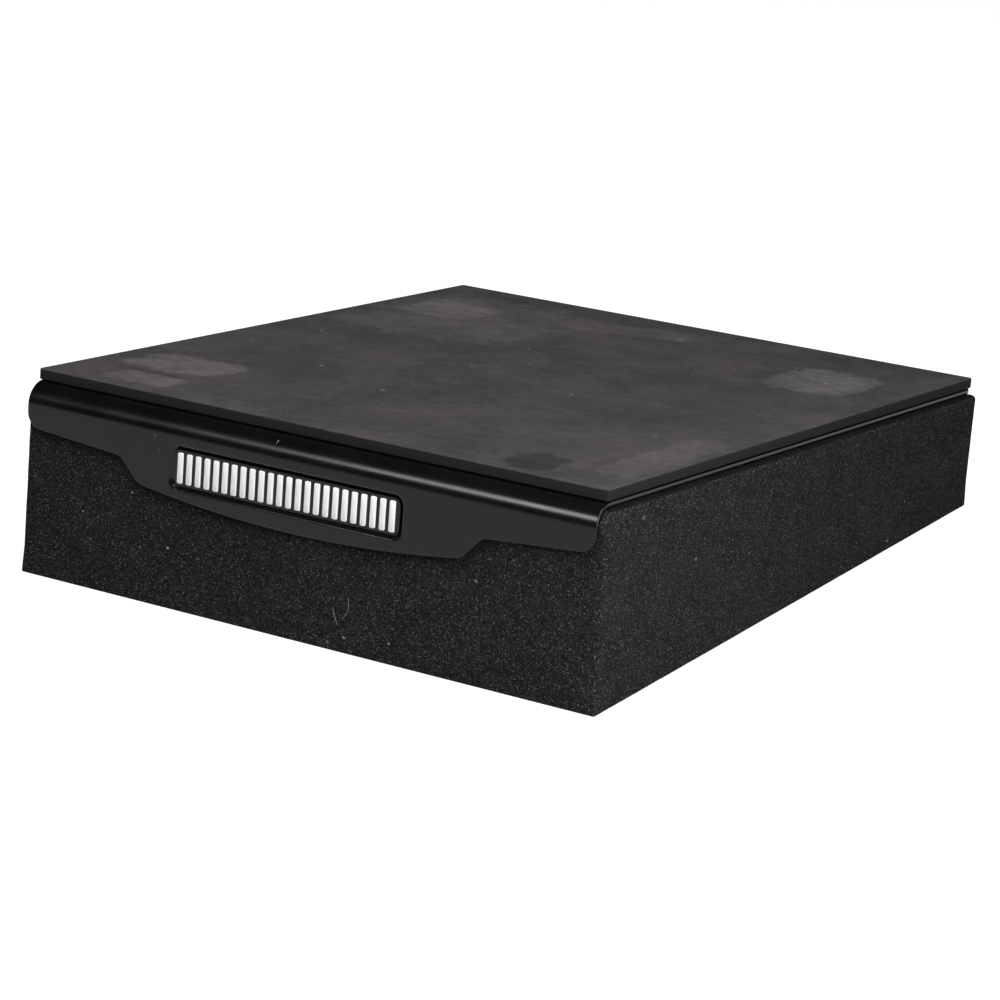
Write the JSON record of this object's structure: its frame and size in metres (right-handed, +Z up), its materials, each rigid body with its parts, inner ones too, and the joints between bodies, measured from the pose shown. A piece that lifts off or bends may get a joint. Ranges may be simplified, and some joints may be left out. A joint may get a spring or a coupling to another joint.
{
  "type": "speaker isolation pad",
  "caption": "Wedge-shaped foam isolation pad for a desktop loudspeaker, with a folded steel deck, a shaped front lip and a rubber top mat.",
  "frame": {"origin": "on the surface the pad stands on, under the middle of its outer box", "axes": "+Z up; +Y from the shaped front lip to the back; +X across the pad, to the right as seen from the lip"},
  "size_m": [0.2658, 0.312, 0.0816],
  "materials": {
    "foam": "open-cell foam, cut faces, matt black",
    "painted_steel": "satin black powder coat",
    "mat_rubber": "matt, scuffed and dusty",
    "badge": "satin black with plain white bars"
  },
  "bodies": {
    "root": {"foam_base": "foam", "steel_plate": "painted_steel", "top_mat": "mat_rubber", "badge_plate": "badge"}
  },
  "joints": []
}
